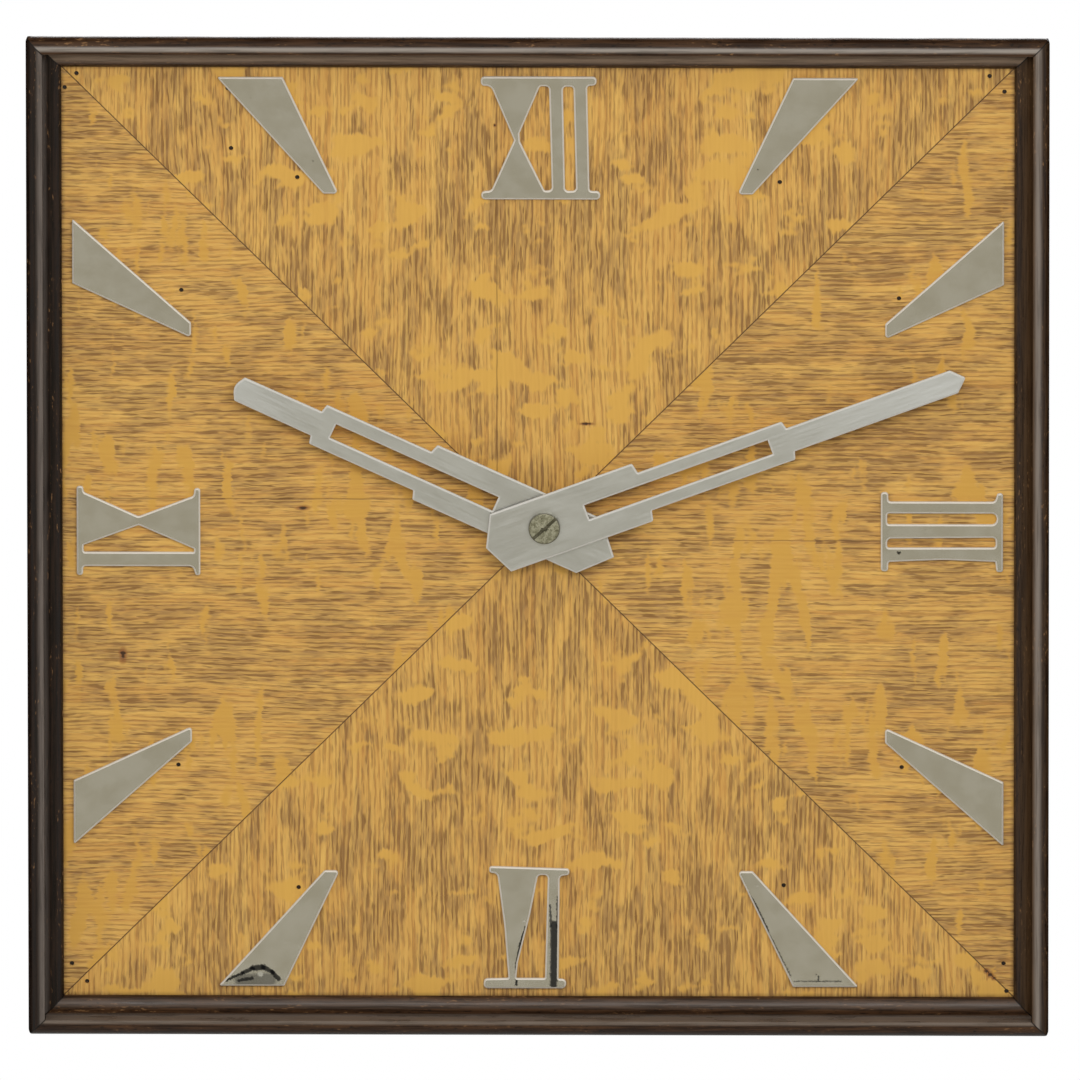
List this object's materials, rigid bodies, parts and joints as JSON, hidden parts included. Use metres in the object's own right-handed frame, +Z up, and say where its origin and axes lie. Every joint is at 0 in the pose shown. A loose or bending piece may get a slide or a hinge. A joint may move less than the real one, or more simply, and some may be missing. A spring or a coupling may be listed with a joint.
{
  "type": "synchronous electric wall clock",
  "caption": "Square wall clock with a moulded dark frame, mitred oak dial, plated numerals and wedges, skeleton hands and a geared synchronous motor behind.",
  "frame": {"origin": "middle of the back of the case, on the wall", "axes": "+Z up, +X to the right as seen from the front, -Y out of the dial toward the viewer"},
  "size_m": [0.405, 0.0788, 0.405],
  "materials": {
    "ebonised_oak": "dark stained, rubbed semi-gloss",
    "golden_oak": "quarter-sawn oak, aged satin varnish",
    "birch_plywood": "bare plywood, waxed",
    "stained_pine": "stained brown, matt",
    "chrome_plate": "polished plate",
    "satin_nickel": "satin nickel plate, bright edges",
    "aged_nickel": "worn nickel plate",
    "screw_steel": "bright steel, a little tarnished",
    "yellow_brass": "machined brass, lightly tarnished",
    "turned_steel": "turned steel",
    "motor_iron": "oiled soft iron",
    "brown_phenolic": "moulded phenolic",
    "varnished_tape": "cotton tape, varnished",
    "braided_cotton": "cotton-covered wire",
    "black_rubber": "matt rubber",
    "zinc_sheet": "zinc-plated sheet"
  },
  "bodies": {
    "clock_case": {"frame_top_rail": "ebonised_oak", "frame_bottom_rail": "ebonised_oak", "frame_left_rail": "ebonised_oak", "frame_right_rail": "ebonised_oak", "dial_board": "birch_plywood", "dial_veneer_top": "golden_oak", "dial_veneer_right": "golden_oak", "dial_veneer_bottom": "golden_oak", "dial_veneer_left": "golden_oak", "case_top": "stained_pine", "case_bottom": "stained_pine", "case_left": "stained_pine", "case_right": "stained_pine", "back_boards": "birch_plywood", "wood_screws": "screw_steel", "hanger_plate": "yellow_brass", "cable_grommet": "black_rubber", "terminal_block": "brown_phenolic", "machine_screws": "screw_steel", "motor_leads": "braided_cotton", "numeral_twelve": "chrome_plate", "numeral_three": "chrome_plate", "numeral_six": "chrome_plate", "numeral_nine": "chrome_plate", "marker_one": "chrome_plate", "marker_two": "chrome_plate", "marker_four": "chrome_plate", "marker_five": "chrome_plate", "marker_seven": "chrome_plate", "marker_eight": "chrome_plate", "marker_ten": "chrome_plate", "marker_eleven": "chrome_plate", "dial_pins": "screw_steel", "front_plate": "yellow_brass", "rear_plate": "yellow_brass", "plate_pillars": "turned_steel", "plate_nuts": "yellow_brass", "centre_bush": "yellow_brass", "bush_nut": "yellow_brass", "stator": "motor_iron", "stator_posts": "yellow_brass", "coil_bobbin": "brown_phenolic", "coil_winding": "varnished_tape", "movement_cover": "zinc_sheet"},
    "minute_hand_body": {"minute_hand": "satin_nickel", "cannon_pinion": "yellow_brass", "hand_nut": "aged_nickel"},
    "hour_hand_body": {"hour_hand": "satin_nickel", "hour_wheel": "yellow_brass"},
    "minute_wheel_body": {"minute_wheel": "yellow_brass"},
    "setting_body": {"set_knob": "yellow_brass", "set_arbor": "turned_steel"},
    "rotor_body": {"rotor": "motor_iron", "rotor_spindle": "turned_steel", "start_knob": "brown_phenolic"},
    "fifth_wheel_body": {"fifth_wheel": "yellow_brass"},
    "fourth_wheel_body": {"fourth_wheel": "yellow_brass"},
    "third_wheel_body": {"third_wheel": "yellow_brass"},
    "centre_wheel_body": {"centre_wheel": "yellow_brass", "clutch_spring": "turned_steel"}
  },
  "joints": [
    {"name": "minute_hand_turn", "type": "hinge", "parent": "clock_case", "child": "minute_hand_body", "pos_m": [0.0025, -0.06, 0.004], "axis": [0, 1, 0], "continuous": true},
    {"name": "hour_hand_turn", "type": "hinge", "parent": "clock_case", "child": "hour_hand_body", "pos_m": [0.0025, -0.058, 0.004], "axis": [0, 1, 0], "continuous": true},
    {"name": "minute_wheel_turn", "type": "hinge", "parent": "clock_case", "child": "minute_wheel_body", "pos_m": [-0.00853, -0.047, -0.00526], "axis": [0, 1, 0], "continuous": true},
    {"name": "set_knob_turn", "type": "hinge", "parent": "clock_case", "child": "setting_body", "pos_m": [-0.01103, -0.03, -0.01944], "axis": [0, 1, 0], "continuous": true},
    {"name": "rotor_turn", "type": "hinge", "parent": "clock_case", "child": "rotor_body", "pos_m": [0, -0.023, -0.04826], "axis": [0, 1, 0], "continuous": true},
    {"name": "fifth_wheel_turn", "type": "hinge", "parent": "clock_case", "child": "fifth_wheel_body", "pos_m": [0.01524, -0.043, -0.03946], "axis": [0, 1, 0], "continuous": true},
    {"name": "fourth_wheel_turn", "type": "hinge", "parent": "clock_case", "child": "fourth_wheel_body", "pos_m": [0.01829, -0.043, -0.02212], "axis": [0, 1, 0], "continuous": true},
    {"name": "third_wheel_turn", "type": "hinge", "parent": "clock_case", "child": "third_wheel_body", "pos_m": [0.02135, -0.043, -0.00479], "axis": [0, 1, 0], "continuous": true},
    {"name": "centre_wheel_turn", "type": "hinge", "parent": "clock_case", "child": "centre_wheel_body", "pos_m": [0.0025, -0.043, 0.004], "axis": [0, 1, 0], "continuous": true}
  ],
  "couplings": [
    {"joint": "hour_hand_turn", "follows": "minute_hand_turn", "ratio": 0.083333},
    {"joint": "minute_wheel_turn", "follows": "minute_hand_turn", "ratio": -0.33333},
    {"joint": "set_knob_turn", "follows": "minute_hand_turn", "ratio": 1},
    {"joint": "fifth_wheel_turn", "follows": "rotor_turn", "ratio": -0.1},
    {"joint": "fourth_wheel_turn", "follows": "rotor_turn", "ratio": 0.01},
    {"joint": "third_wheel_turn", "follows": "rotor_turn", "ratio": -0.001},
    {"joint": "centre_wheel_turn", "follows": "rotor_turn", "ratio": 0.000083333}
  ]
}
